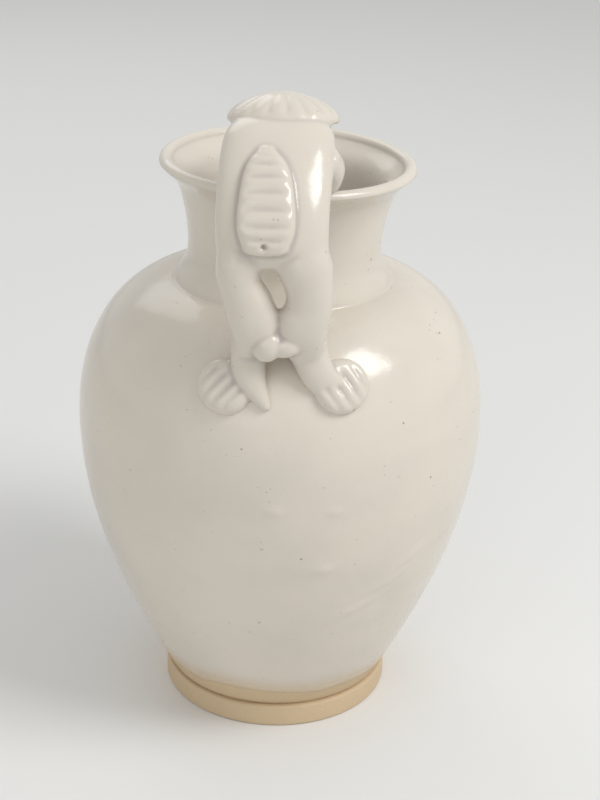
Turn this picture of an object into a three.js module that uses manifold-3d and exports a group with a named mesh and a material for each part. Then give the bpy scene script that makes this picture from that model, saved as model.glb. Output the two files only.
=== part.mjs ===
// Lion-handled ewer: a thrown jar with a foot, a flared neck and a short spout, and a modelled
// lion that stands on the shoulder and grips the rim, so that its body is the handle.
// Millimetres, +Z up, origin at the middle of the flat underside. The handle is on the -Y side,
// and left and right are the lion's own as it looks along +Y into the mouth: left is -X.

import * as THREE from 'three';
import { mergeVertices } from 'three/addons/utils/BufferGeometryUtils.js';
import Module from 'manifold-3d';

const wasm = await Module();
wasm.setup();

// Thrown pieces
const footRadius = 40.1;
const footHeight = 8;
const footEdge = 0.9;
const bodyFootRadius = 38.4;
const bellyRadius = 69.6;
const bellyHeight = 105.4;
const shoulderHeight = 153.9;
const bodyWall = 4.8;
const floorThickness = 6;
const neckSeatRadius = 36.6;
const neckWaistRadius = 32.4;
const neckWaistRise = 11.5;
const throatRadius = 35.8;
const throatDrop = 10;
const rimRadius = 42.4;
const rimHeight = 195;
const neckWall = 4.4;
const neckLean = THREE.MathUtils.degToRad(1.5);

// Exponents of the flank and the shoulder curves
const flankPower = 0.96;
const shoulderPower = 2.15;

// Spout
const spoutHeight = 124;
const spoutReach = 22;
const spoutRise = 32;
const spoutBaseRadius = 13.5;
const spoutTipRadius = 9.2;
const spoutBore = 6.2;

// Lion
const backHalfWidth = 17;
const backHalfThickness = 7.5;
const legDepth = 6.5;
const handleShift = -3.4;
const headHalfWidth = 13.5;
const maneHalfWidth = 17.6;
const maneHalfLength = 14.5;
const maneRise = 9.6;
const maneRibs = 18;
const tailHalfWidth = 8.6;
const tailThickness = 2.2;
const tailRibs = 8;
const tailRibDepth = 0.55;
const pawRadius = 8.6;
const toeCount = 5;
const toePitch = 3.1;
const knotRadius = 6.5;

// Clearance between pieces whose curved faces meet
const slip = 0.3;

const roundSides = 40;
const neckRise = rimHeight - shoulderHeight;

const glazeColour = 0xe9e2cf;
const clayColour = 0xc6ae8b;

function solidOf(geometry) {
  geometry.deleteAttribute('normal');
  geometry.deleteAttribute('uv');
  const merged = mergeVertices(geometry, 1e-4);
  return new wasm.Manifold(new wasm.Mesh({
    numProp: 3,
    vertProperties: new Float32Array(merged.attributes.position.array),
    triVerts: new Uint32Array(merged.index.array),
  }));
}

function meshOf(name, solid, color, roughness) {
  const out = solid.getMesh();
  const geometry = new THREE.BufferGeometry();
  geometry.setAttribute('position', new THREE.BufferAttribute(new Float32Array(out.vertProperties), 3));
  geometry.setIndex(new THREE.BufferAttribute(new Uint32Array(out.triVerts), 1));
  geometry.computeVertexNormals();
  const mesh = new THREE.Mesh(geometry, new THREE.MeshStandardMaterial({ color, roughness, metalness: 0 }));
  mesh.name = name;
  return mesh;
}

// A revolve about Z of a profile of [radius, height] pairs, listed from the bottom outwards and up.
function revolve(profile, sides = roundSides) {
  const points = profile.map(([radius, height]) => new THREE.Vector2(Math.max(radius, 0), height));
  const geometry = new THREE.LatheGeometry(points, sides);
  geometry.rotateX(Math.PI / 2);
  return geometry;
}

// A closed skin over rings of equal point counts, with a pole at each end.
function skin(rings, firstPole, lastPole) {
  const sides = rings[0].length;
  const positions = [];
  const index = [];
  rings.forEach((ring) => ring.forEach((point) => positions.push(point.x, point.y, point.z)));
  positions.push(firstPole.x, firstPole.y, firstPole.z, lastPole.x, lastPole.y, lastPole.z);
  const first = rings.length * sides;
  const last = first + 1;
  for (let side = 0; side < sides; side += 1) {
    const next = (side + 1) % sides;
    for (let ring = 0; ring + 1 < rings.length; ring += 1) {
      const low = ring * sides;
      const high = low + sides;
      index.push(low + side, low + next, high + next, low + side, high + next, high + side);
    }
    const top = (rings.length - 1) * sides;
    index.push(first, next, side, last, top + side, top + next);
  }
  const geometry = new THREE.BufferGeometry();
  geometry.setAttribute('position', new THREE.Float32BufferAttribute(positions, 3));
  geometry.setIndex(index);
  return geometry;
}

// A limb: oval sections along a smooth path, each half as wide (X) and half as deep as sizes say,
// closed by a rounded cap of length cap at each end. wave adds ribs to the depth along the way.
function limb({ path, sizes, cap, grow = 0, sides = 14, steps = 10, wave = () => 0 }) {
  const line = new THREE.CatmullRomCurve3(path);
  const widths = new THREE.CatmullRomCurve3(sizes.map(([wide, deep]) => new THREE.Vector3(wide, deep, 0)));
  const rings = [];
  const capAngles = [0.78, 0.39].map((share) => share * Math.PI / 2);
  const addRing = (t, slide, scale) => {
    const centre = line.getPoint(t);
    const tangent = line.getTangent(t);
    const across = new THREE.Vector3(1, 0, 0).addScaledVector(tangent, -tangent.x).normalize();
    const out = new THREE.Vector3().crossVectors(tangent, across);
    const size = widths.getPoint(t);
    centre.addScaledVector(tangent, slide);
    const ring = [];
    for (let side = 0; side < sides; side += 1) {
      const angle = 2 * Math.PI * side / sides;
      const deep = size.y + grow + wave(t);
      ring.push(centre.clone()
        .addScaledVector(across, Math.cos(angle) * (size.x + grow) * scale)
        .addScaledVector(out, Math.sin(angle) * deep * scale));
    }
    rings.push(ring);
  };
  capAngles.forEach((angle) => addRing(0, -(cap + grow) * Math.sin(angle), Math.cos(angle)));
  for (let step = 0; step <= steps; step += 1) {
    addRing(step / steps, 0, 1);
  }
  [...capAngles].reverse().forEach((angle) => addRing(1, (cap + grow) * Math.sin(angle), Math.cos(angle)));
  const start = line.getPoint(0).addScaledVector(line.getTangent(0), -(cap + grow));
  const end = line.getPoint(1).addScaledVector(line.getTangent(1), cap + grow);
  return solidOf(skin(rings, start, end));
}

// An egg-shaped lump of clay, turned by a rotation about X.
function lump(centre, radii, { grow = 0, tilt = 0, wide = 14, high = 9 } = {}) {
  const geometry = new THREE.SphereGeometry(1, wide, high);
  geometry.scale(radii[0] + grow, radii[1] + grow, radii[2] + grow);
  geometry.rotateX(tilt);
  geometry.translate(centre.x, centre.y, centre.z);
  return solidOf(geometry);
}

function without(solid, cutters) {
  return cutters.reduce((left, cutter) => left.subtract(cutter), solid);
}

// Outer radius of the jar at a height
function bodyRadius(height) {
  if (height <= bellyHeight) {
    const share = (height - footHeight) / (bellyHeight - footHeight);
    const swell = Math.sin(Math.max(share, 0) * Math.PI / 2) ** flankPower;
    return bodyFootRadius + (bellyRadius - bodyFootRadius) * swell;
  }
  const share = Math.min((height - bellyHeight) / (shoulderHeight - bellyHeight), 1);
  return neckSeatRadius + (bellyRadius - neckSeatRadius) * Math.sqrt(1 - share ** shoulderPower);
}

// A point above the jar's surface on the handle side, at a height and a distance off the surface
function onShoulder(x, height, lift) {
  const radius = bodyRadius(height) + lift;
  return new THREE.Vector3(x, -Math.sqrt(radius * radius - x * x), height);
}

// A point of the handle: out is its distance behind the rim, up its share of the way from the
// shoulder to the rim.
function onHandle(x, out, up) {
  return new THREE.Vector3(x, -(rimRadius + out), shoulderHeight + up * neckRise);
}

// A point of the lion's head, measured from the middle of the back of the rim
function atHead(x, inwards, above) {
  return new THREE.Vector3(x, -rimRadius + inwards, rimHeight + above);
}

function foot() {
  return solidOf(revolve([
    [0, 0],
    [footRadius - footEdge, 0],
    [footRadius, footEdge],
    [footRadius, footHeight - footEdge],
    [footRadius - footEdge, footHeight],
    [0, footHeight],
  ]));
}

// Flank and shoulder of the jar, or of its hollow, from the bottom up
function jarCurve({ bottom, bottomRadius, belly, top, topRadius, low, high }) {
  const profile = [];
  for (let step = 0; step < low; step += 1) {
    const share = step / low;
    const swell = Math.sin(share * Math.PI / 2) ** flankPower;
    profile.push([bottomRadius + (belly - bottomRadius) * swell, bottom + (bellyHeight - bottom) * share]);
  }
  for (let step = 0; step <= high; step += 1) {
    const angle = step / high * Math.PI / 2;
    const rise = Math.sin(angle) ** (2 / shoulderPower);
    profile.push([topRadius + (belly - topRadius) * Math.cos(angle), bellyHeight + (top - bellyHeight) * rise]);
  }
  return profile;
}

function filledJar(grow) {
  const profile = jarCurve({
    bottom: footHeight,
    bottomRadius: bodyFootRadius + grow,
    belly: bellyRadius + grow,
    top: shoulderHeight + grow,
    topRadius: neckSeatRadius,
    low: 7,
    high: 7,
  });
  return solidOf(revolve([[0, footHeight], ...profile, [0, shoulderHeight + grow]]));
}

function jarHollow() {
  const boreRadius = neckSeatRadius - neckWall;
  const floorHeight = footHeight + floorThickness;
  const profile = jarCurve({
    bottom: floorHeight,
    bottomRadius: bodyFootRadius - bodyWall,
    belly: bellyRadius - bodyWall,
    top: shoulderHeight - bodyWall,
    topRadius: boreRadius,
    low: 7,
    high: 7,
  });
  const above = shoulderHeight + bodyWall;
  return solidOf(revolve([[0, floorHeight], ...profile, [boreRadius, above], [0, above]]));
}

// The neck leans: each level moves sideways with its height, and the rim dips on that side.
function leanNeck(geometry) {
  const position = geometry.attributes.position;
  for (let i = 0; i < position.count; i += 1) {
    const rise = position.getZ(i) - shoulderHeight;
    if (rise > 0) {
      const x = position.getX(i);
      position.setX(i, x + Math.tan(neckLean) * rise);
      position.setZ(i, position.getZ(i) - Math.tan(neckLean) * x * rise / neckRise);
    }
  }
  return geometry;
}

function neck(grow = 0) {
  const lip = neckWall / 2;
  const waistHeight = shoulderHeight + neckWaistRise;
  const outline = new THREE.SplineCurve([
    new THREE.Vector2(neckSeatRadius, shoulderHeight),
    new THREE.Vector2(neckWaistRadius, waistHeight),
    new THREE.Vector2(throatRadius, rimHeight - throatDrop),
    new THREE.Vector2(rimRadius, rimHeight - lip),
  ]).getPoints(7);
  const outer = outline.map((point) => [point.x + grow, point.y]);
  const inner = outline.map((point) => [point.x - neckWall - grow, point.y]).reverse();
  const lipSteps = 4;
  const lipPoints = [];
  for (let step = 1; step < lipSteps; step += 1) {
    const angle = Math.PI * step / lipSteps;
    lipPoints.push([
      rimRadius - lip + (lip + grow) * Math.cos(angle),
      rimHeight - lip + (lip + grow) * Math.sin(angle),
    ]);
  }
  return solidOf(leanNeck(revolve([...outer, ...lipPoints, ...inner, outer[0]])));
}

function spoutLine() {
  const base = new THREE.Vector3(0, bodyRadius(spoutHeight), spoutHeight);
  return [
    base.clone().add(new THREE.Vector3(0, -2.2 * bodyWall, -1.6 * bodyWall)),
    base.clone(),
    base.clone().add(new THREE.Vector3(0, 0.55 * spoutReach, 0.45 * spoutRise)),
    base.clone().add(new THREE.Vector3(0, spoutReach, spoutRise)),
  ];
}

function spoutTube(baseRadius, tipRadius, cap) {
  const middle = (baseRadius + tipRadius) / 2;
  return limb({
    path: spoutLine(),
    sizes: [
      [baseRadius, baseRadius],
      [baseRadius, baseRadius],
      [middle, middle],
      [tipRadius, tipRadius],
    ],
    cap,
    sides: 16,
    steps: 7,
  });
}

function spoutBoreTube() {
  return spoutTube(spoutBore, spoutBore, spoutBaseRadius);
}

function spout() {
  return spoutTube(spoutBaseRadius, spoutTipRadius, slip)
    .subtract(spoutBoreTube())
    .subtract(filledJar(slip));
}

function jarBody() {
  return filledJar(0).subtract(jarHollow()).subtract(spoutBoreTube());
}

// The lion's back: from the rump, up behind the rim and over it to the nape
function torso(grow = 0) {
  const narrow = backHalfWidth - 1.5;
  return limb({
    path: [
      onHandle(handleShift, 18.2, 0.6),
      onHandle(handleShift, 17.8, 0.7),
      onHandle(handleShift, 14, 0.95),
      onHandle(handleShift + 0.6, 6.6, 1.19),
      onHandle(handleShift + 1.6, -2.4, 1.36),
      onHandle(handleShift + 2.2, -12, 1.42),
    ],
    sizes: [
      [backHalfWidth + 1, backHalfThickness - 0.6],
      [backHalfWidth + 1, backHalfThickness],
      [backHalfWidth, backHalfThickness],
      [backHalfWidth - 0.4, backHalfThickness],
      [narrow, backHalfThickness],
      [narrow - 2, backHalfThickness - 1],
    ],
    cap: 1,
    grow,
    sides: 18,
    steps: 12,
  });
}

function leftHindLeg(grow = 0) {
  return limb({
    path: [
      onHandle(-13.2, 18.2, 0.58),
      onHandle(-14, 19, 0.4),
      onHandle(-9.3, 19, 0.12),
      onShoulder(-10.6, shoulderHeight - 4, 9),
      onShoulder(-11.2, shoulderHeight - 12, 2.6),
      onShoulder(-8.2, shoulderHeight - 19, 0.8),
    ],
    sizes: [
      [8.4, legDepth],
      [6.9, legDepth],
      [7.5, legDepth],
      [5.6, legDepth - 1],
      [5.2, legDepth - 2.4],
      [2.4, 1.8],
    ],
    cap: 1.2,
    grow,
  });
}

function rightHindLeg(grow = 0) {
  return limb({
    path: [
      onHandle(6.4, 18.2, 0.58),
      onHandle(7.9, 19, 0.4),
      onHandle(5.4, 19, 0.12),
      onShoulder(8, shoulderHeight - 4, 9),
      onShoulder(11.5, shoulderHeight - 11, 2.6),
      onShoulder(15.5, shoulderHeight - 16, 0.8),
    ],
    sizes: [
      [8.6, legDepth],
      [7, legDepth],
      [7.6, legDepth],
      [5.6, legDepth - 1],
      [5.2, legDepth - 2.4],
      [4.2, 2.4],
    ],
    cap: 1.2,
    grow,
  });
}

function hockKnot() {
  const centre = onHandle(-2, 20.6, -0.06);
  return lump(centre, [knotRadius, 4.8, knotRadius], { wide: 16, high: 11 });
}

// A paw pressed on the shoulder: a flat pad with rounded toes side by side. toeAngle turns the
// toes from straight down, towards +X when positive.
function hindPaw(x, height, toeAngle, grow = 0) {
  const centre = onShoulder(x, height, 0.6);
  const slope = (bodyRadius(height - 1) - bodyRadius(height + 1)) / 2;
  const turn = new THREE.Matrix4().makeRotationZ(Math.asin(x / bodyRadius(height)));
  turn.multiply(new THREE.Matrix4().makeRotationX(-Math.atan(slope)));
  turn.multiply(new THREE.Matrix4().makeRotationY(-toeAngle));
  turn.setPosition(centre);
  const place = (offset, radii, wide, high) => {
    const geometry = new THREE.SphereGeometry(1, wide, high);
    geometry.scale(radii[0] + grow, radii[1] + grow, radii[2] + grow);
    geometry.translate(offset, 0, 0);
    geometry.applyMatrix4(turn);
    return solidOf(geometry);
  };
  let paw = place(0, [pawRadius - 0.8, 2.8, pawRadius - 0.8], 16, 9);
  for (let toe = 0; toe < toeCount; toe += 1) {
    const offset = (toe - (toeCount - 1) / 2) * toePitch;
    const length = Math.sqrt(pawRadius * pawRadius - offset * offset);
    paw = paw.add(place(offset, [toePitch * 0.6, 4, length], 8, 6));
  }
  return paw;
}

function leftHindPaw() {
  return hindPaw(-18.9, shoulderHeight - 16.6, -THREE.MathUtils.degToRad(48));
}

function rightHindPaw() {
  return hindPaw(19, shoulderHeight - 16.2, THREE.MathUtils.degToRad(44));
}

// The tail lies up the back as a tongue-shaped plate with ribs across it.
function tail() {
  const ribPhase = 2 * Math.PI * tailRibs;
  return limb({
    path: [
      onHandle(-5.3, 25.6, 0.72),
      onHandle(-5.3, 23.6, 0.9),
      onHandle(-5.3, 18.2, 1.13),
      onHandle(-5.5, 12.6, 1.28),
      onHandle(-5.6, 8.2, 1.37),
    ],
    sizes: [
      [tailHalfWidth - 2, tailThickness],
      [tailHalfWidth, tailThickness],
      [tailHalfWidth - 0.6, tailThickness],
      [tailHalfWidth - 2.6, tailThickness],
      [2.2, tailThickness - 0.6],
    ],
    cap: 1.2,
    sides: 12,
    steps: 3 * tailRibs,
    wave: (t) => tailRibDepth * Math.cos(ribPhase * t),
  });
}

function head(grow = 0) {
  const skull = lump(atHead(-1.3, 20.5, 13.6), [headHalfWidth, 15, 10], { grow, wide: 16, high: 10 });
  const muzzle = lump(atHead(-1.3, 34.6, 10), [9.2, 8, 6.2], { grow });
  return skull.add(muzzle);
}

function lowerJaw() {
  return lump(atHead(-1.3, 32.6, 4.6), [7.2, 8.4, 3], {});
}

function nose() {
  return lump(atHead(-1.3, 42.2, 13), [3.4, 2.4, 2.4], { wide: 10, high: 7 });
}

function eye(x) {
  return lump(atHead(x, 33.2, 16.4), [2.2, 2.2, 2.1], { wide: 10, high: 7 });
}

function ear(x, grow = 0) {
  return lump(atHead(x, 26, 20.6), [3.1, 2.2, 4], { grow, wide: 10, high: 7, tilt: -0.25 });
}

// The mane is a ribbed cap over the crown, with a rolled lip along its lower edge.
function mane() {
  const centre = atHead(-1.2, 15.5, 18.4);
  const turn = new THREE.Matrix4().makeRotationX(-0.2).setPosition(centre);
  const sides = 2 * maneRibs;
  const levels = [
    { rise: 0, size: 0.98 },
    { rise: 0.1, size: 1.02 },
    { rise: 0.24, size: 0.98 },
    { rise: 0.42, size: 0.9 },
    { rise: 0.64, size: 0.76 },
    { rise: 0.84, size: 0.53 },
    { rise: 0.96, size: 0.26 },
  ];
  const rings = levels.map(({ rise, size }) => {
    const ring = [];
    for (let side = 0; side < sides; side += 1) {
      const angle = 2 * Math.PI * side / sides;
      const ribbed = size * (1 - 0.035 * (side % 2));
      ring.push(new THREE.Vector3(
        Math.cos(angle) * maneHalfWidth * ribbed,
        Math.sin(angle) * maneHalfLength * ribbed,
        rise * maneRise,
      ).applyMatrix4(turn));
    }
    return ring;
  });
  const low = new THREE.Vector3(0, 0, 0).applyMatrix4(turn);
  const high = new THREE.Vector3(0, 0, maneRise).applyMatrix4(turn);
  return solidOf(skin(rings, low, high));
}

function foreleg(side, grow = 0) {
  const middle = -0.9;
  return limb({
    path: [
      atHead(middle + side * 13.2, -3, 12),
      atHead(middle + side * 14.6, 0.5, 8),
      atHead(middle + side * 14.2, 3.4, 4),
    ],
    sizes: [[4, 4.4], [4.4, 4.6], [4, 4]],
    cap: 2,
    grow,
    sides: 12,
    steps: 5,
  });
}

function forepaw(side, grow = 0) {
  return lump(atHead(-0.9 + side * 13.6, 7.2, 1.8), [4.6, 5.2, 3.6], { grow, wide: 12, high: 8 });
}

const ewer = new THREE.Group();

function addPiece(name, solid) {
  ewer.add(meshOf(name, solid, glazeColour, 0.28));
}

ewer.add(meshOf('foot', foot(), clayColour, 0.85));
addPiece('jar_body', jarBody());
addPiece('neck', neck());
addPiece('spout', spout());

const jarCut = filledJar(slip);
const neckCut = neck(slip);
const headCut = head(slip);
const torsoCut = torso(slip);
addPiece('lion_head', without(head(), [neckCut]));
addPiece('lion_torso', without(torso(), [neckCut, headCut]));

const leftLegCut = leftHindLeg(slip);
const rightLegCut = rightHindLeg(slip);
addPiece('left_hind_leg', without(leftHindLeg(), [jarCut, torsoCut]));
addPiece('right_hind_leg', without(rightHindLeg(), [jarCut, torsoCut, leftLegCut]));
addPiece('hock_knot', without(hockKnot(), [jarCut, leftLegCut, rightLegCut]));
addPiece('left_hind_paw', without(leftHindPaw(), [jarCut, leftLegCut]));
addPiece('right_hind_paw', without(rightHindPaw(), [jarCut, rightLegCut]));
addPiece('tail', without(tail(), [torsoCut, leftLegCut, rightLegCut]));

const earCuts = [-1, 1].map((side) => ear(-1.3 + side * 11.6, slip));
addPiece('mane', without(mane(), [headCut, torsoCut, ...earCuts]));
addPiece('lower_jaw', without(lowerJaw(), [headCut, neckCut]));
addPiece('nose', without(nose(), [headCut]));

[['left', -1], ['right', 1]].forEach(([label, side]) => {
  const middle = -1.3;
  const forelegCut = foreleg(side, slip);
  const maneCut = earCuts[side < 0 ? 0 : 1];
  addPiece(`${label}_eye`, without(eye(middle + side * 6.2), [headCut]));
  addPiece(`${label}_ear`, without(ear(middle + side * 11.6), [headCut, torsoCut]));
  addPiece(`${label}_foreleg`, without(foreleg(side), [neckCut, headCut, torsoCut, maneCut]));
  addPiece(`${label}_forepaw`, without(forepaw(side), [neckCut, headCut, torsoCut, forelegCut]));
});

export default ewer;
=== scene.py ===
"""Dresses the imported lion-handled ewer: fine thrown surfaces, one fused lion, glaze and bare clay.

Metres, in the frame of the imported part: +Z up, handle on -Y, spout on +Y.
"""

import bmesh
import bpy
import numpy as np
from bpy.props import FloatProperty, FloatVectorProperty, IntProperty, PointerProperty
from mathutils import Matrix, Vector


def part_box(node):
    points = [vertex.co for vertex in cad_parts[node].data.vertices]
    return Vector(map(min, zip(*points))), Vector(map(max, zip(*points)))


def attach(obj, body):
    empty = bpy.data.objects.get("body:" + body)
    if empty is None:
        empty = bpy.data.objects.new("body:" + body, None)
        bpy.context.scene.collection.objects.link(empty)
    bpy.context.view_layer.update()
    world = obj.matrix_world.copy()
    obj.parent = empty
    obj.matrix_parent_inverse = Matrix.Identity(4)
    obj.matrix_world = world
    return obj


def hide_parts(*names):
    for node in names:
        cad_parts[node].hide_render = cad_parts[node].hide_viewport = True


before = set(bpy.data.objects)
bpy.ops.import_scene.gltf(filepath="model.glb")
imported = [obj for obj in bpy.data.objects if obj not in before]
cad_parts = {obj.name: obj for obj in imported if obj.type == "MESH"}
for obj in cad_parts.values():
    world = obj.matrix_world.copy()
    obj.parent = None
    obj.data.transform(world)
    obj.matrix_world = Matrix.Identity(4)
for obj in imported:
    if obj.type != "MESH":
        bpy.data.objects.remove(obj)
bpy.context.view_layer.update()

bl_info = {
    "name": "Lion-handled ewer",
    "version": (1, 0, 0),
    "blender": (4, 5, 0),
    "location": "View3D > Sidebar > Ewer",
    "description": "Builds the visible surfaces of a lion-handled ewer round its packed solids",
    "category": "Add Mesh",
}

MM = 0.001

# Highest corners of the foot and the jar: x is the greatest radius and z is the top
FOOT_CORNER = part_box("foot")[1]
JAR_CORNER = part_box("jar_body")[1]

LION_NODES = (
    "lion_torso", "lion_head", "lower_jaw", "nose", "mane", "tail", "hock_knot",
    "left_hind_leg", "right_hind_leg", "left_hind_paw", "right_hind_paw",
    "left_foreleg", "right_foreleg", "left_forepaw", "right_forepaw",
    "left_ear", "right_ear", "left_eye", "right_eye",
)

# Exponents of the flank and the shoulder curves of the jar
FLANK_POWER = 0.96
SHOULDER_POWER = 2.15

# Soft lumps and dents in the jar's wall: angle round the axis in degrees, height, half length and
# half width in millimetres, tilt in radians, and depth in millimetres, below 0 where it stands proud
WALL_MARKS = (
    (-91, 100, 1.9, 1.4, 0, -0.7),
    (-77, 77, 2.4, 1.5, 0.2, -0.75),
    (-75, 99, 1.7, 1.3, 0, -0.6),
    (-63, 58, 11, 1.6, 0.35, -0.6),
    (-55, 66, 9, 1.4, 0.4, -0.5),
    (-48, 74, 8, 1.5, 0.45, -0.45),
    (-58, 62, 12, 8, 0, 0.35),
    (-120, 74, 10, 10, 0, 0.3),
)
THROWING_PITCH = 2.1 * MM
THROWING_DEPTH = 0.07 * MM
SWAY_PITCH = 31 * MM
SWAY_DEPTH = 0.22 * MM

# Height at which the spout's centre line leaves the jar, radius of its bore, and facets round it
SPOUT_HEIGHT = 124 * MM
SPOUT_BORE = 6.2 * MM
SPOUT_SIDES = 72
# Points of that line from where it leaves the jar, and the outer radii there, in millimetres
SPOUT_LINE = np.array([(0, -9, -6.8), (0, 0, 0), (0, 12.1, 14.4), (0, 21.6, 31.4)])
SPOUT_RADII = np.array([[15.8], [13.6], [11.2], [9.1]])
# Ends of the hole that carries the bore on through the jar's wall, from the same place
BORE_LINE = np.array([(0, -12, -9), (0, 1.5, 1.2)])
# How deep the spout's root goes into the jar's wall, as a share of its thickness
ROOT_DEPTH = 0.55

# Rounding of the foot's edges, and how far it is out of round, as shares of its radius
FOOT_EDGE = 0.9 * MM
FOOT_OVAL = 0.0035
FOOT_RIPPLE = 0.0012

# Angles of the rings that close the end of a limb, and the shares of its half width at which a
# wave on it ends and over which it fades
CAP_ANGLES = (80, 68, 54, 40, 24, 10)
WAVE_EDGE = 0.84
WAVE_FADE = 0.1
# How deep the middle of a hind paw lies in the jar's surface
PAW_SINK = 0.6 * MM

# The pinhole at the root of the tail. Only points further out than PINHOLE_Y are pushed in
PINHOLE_X = -5.8 * MM
PINHOLE_Y = -66 * MM
PINHOLE_HEIGHT = 186.8 * MM
PINHOLE_RADIUS = 0.8 * MM
PINHOLE_DEPTH = 1.8 * MM

# Heights between which the thighs are smoothed into the back. The band ends at THIGH_TOP under
# the tail and at FLANK_TOP on both sides of it. Only points further out than THIGH_Y are moved
THIGH_BOTTOM = 163 * MM
THIGH_TOP = 181.5 * MM
FLANK_TOP = 193 * MM
THIGH_FADE = 4 * MM
THIGH_Y = -50 * MM
TAIL_MIDDLE = -5.3 * MM
TAIL_CLEARANCE = 9.4 * MM
TAIL_FADE = 1.5 * MM
# Hollow depth at which the lion's hollows are fully greyed, as pooled glaze and painted shade
POOL_AND_SHADE_DEPTH = 0.13 * MM
# Times of smoothing: the whole fused lion, its thighs, to find its hollows, and the hollows' marks
FUSE_PASSES = 6
THIGH_PASSES = 60
HOLLOW_PASSES = 14
POOL_AND_SHADE_PASSES = 3

# The lower end of the jar's glaze: height above the foot, half its soft edge, how far it wanders,
# and the width of the thin brownish band above it
GLAZE_STOP = 7.5 * MM
STOP_SOFTNESS = 0.9 * MM
STOP_WANDER = 11 * MM
THIN_BAND = 10 * MM

# Finish of the glaze, of the foot's clay and of the bare clay on the jar
GLAZE_IOR = 1.5
GLAZE_ROUGHNESS = 0.13
GLAZE_RELIEF = 0.16 * MM
CLAY_ROUGHNESS = 0.72
BARE_ROUGHNESS = 0.78
CLAY_RELIEF = 0.22 * MM

# Patterns in the glaze and the clay, in cells to the metre
DRIFT_CELLS = 14.0
STOP_CELLS = 26.0
CLOUD_CELLS = 38.0
STAIN_CELLS = 45.0
SWELL_CELLS = 60.0
PIT_CLUSTER_CELLS = 90.0
SHEEN_CELLS = 120.0
SPECK_CELLS = 190.0
PEEL_CELLS = 210.0
CLAY_SPECK_CELLS = 330.0
PIT_CELLS = 420.0
BARE_GRAIN_CELLS = 420.0
CLAY_GRAIN_CELLS = 520.0
FINE_GRAIN_CELLS = 1500.0
# Radius of a speck as a share of its cell, and the scale of the noise that clusters the specks
# against their own
SPECK_RADIUS = 0.11
CLAY_SPECK_RADIUS = 0.14
SPECK_CLUSTER = 0.37

# The photograph's viewpoint: place in metres, pan, pitch and roll in degrees, lens in millimetres
VIEW_PLACE = (0.0008, -0.5382, 0.3453)
VIEW_ANGLES = (0.64, 23.8, 1.49)
VIEW_LENS = 76.08
SENSOR_WIDTH = 36

# Name, place, side and power of each soft lamp, which all face the middle of the ewer
LAMPS = (
    ("key", (0.75, -0.35, 1.0), 0.5, 7.5),
    ("front", (-0.55, -1.1, 0.75), 0.9, 2.0),
    ("back", (-0.4, 0.9, 0.9), 0.7, 1.8),
)
LAMP_TARGET = (0, 0, 0.11)

# The floor and the surround. Camera, glossy and transmission rays see SURROUND_SEEN on top
FLOOR_SIDE = 6
FLOOR_PALE = (0.78, 0.78, 0.77)
FLOOR_SHADE = (0.70, 0.70, 0.69)
FLOOR_CELLS = 3.0
FLOOR_ROUGHNESS = 0.8
SURROUND_COLOUR = (0.93, 0.93, 0.92, 1)
SURROUND_LIGHT = 0.62
SURROUND_SEEN = 0.2


def length(name, description, default):
    """A size property in metres."""
    return FloatProperty(name=name, description=description, default=default, unit="LENGTH", precision=5)


def colour(name, description, default):
    """A colour property, linear red, green and blue."""
    return FloatVectorProperty(
        name=name, description=description, default=default, subtype="COLOR", size=3, min=0, max=1
    )


class VesselSizes(bpy.types.PropertyGroup):
    """Sizes of the thrown pieces."""

    foot_height: length("Foot height", "Height of the foot's ledge", FOOT_CORNER.z)
    foot_radius: length("Foot radius", "Outer radius of the foot", FOOT_CORNER.x)
    flank_radius: length("Flank radius", "Radius where the jar meets its foot", 38.4 * MM)
    belly_radius: length("Belly radius", "Widest radius of the jar", JAR_CORNER.x)
    belly_height: length("Belly height", "Height of the widest place", 105.4 * MM)
    shoulder_height: length("Shoulder height", "Height of the crease under the neck", JAR_CORNER.z)
    seat_radius: length("Seat radius", "Radius of the neck at the crease", 36.6 * MM)
    waist_radius: length("Waist radius", "Narrowest radius of the neck", 32.4 * MM)
    waist_rise: length("Waist rise", "Height of the waist above the crease", 11.5 * MM)
    throat_radius: length("Throat radius", "Radius below the flare of the lip", 35.8 * MM)
    throat_drop: length("Throat drop", "Depth of the throat below the rim", 10 * MM)
    rim_radius: length("Rim radius", "Outer radius of the lip", 42.4 * MM)
    rim_height: length("Rim height", "Height of the lip", 195 * MM)
    wall: length("Wall", "Thickness of the jar's wall", 4.8 * MM)
    neck_wall: length("Neck wall", "Thickness of the neck's wall", 4.4 * MM)
    floor: length("Floor", "Thickness of the jar's floor", 6 * MM)
    lean: FloatProperty(
        name="Lean", description="Angle of the neck", default=np.radians(1.5), subtype="ANGLE"
    )
    sides: IntProperty(name="Sides", description="Facets round the jar", default=224, min=24)


class LionSizes(bpy.types.PropertyGroup):
    """Sizes of the modelled lion."""

    half_width: length("Back half width", "Half the width of the back", 17 * MM)
    half_depth: length("Back half depth", "Half the thickness of the back", 7.5 * MM)
    leg_depth: length("Leg half depth", "Half the thickness of a hind leg", 6.5 * MM)
    shift: length("Shift", "Offset of the back from the middle", -3.4 * MM)
    tail_half_width: length("Tail half width", "Half the width of the tail plate", 8.6 * MM)
    tail_ribs: IntProperty(name="Tail ribs", description="Ribs across the tail", default=8, min=1)
    rib_depth: length("Rib depth", "Height of the ribs on the tail", 0.85 * MM)
    paw_radius: length("Paw radius", "Radius of a hind paw", 9.2 * MM)
    toes: IntProperty(name="Toes", description="Rounded ridges on a hind paw", default=5, min=2)
    mane_ribs: IntProperty(name="Mane ribs", description="Grooves of the mane", default=17, min=3)
    grain: length("Grain", "Size of the cells that fuse the lion", 0.5 * MM)


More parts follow.
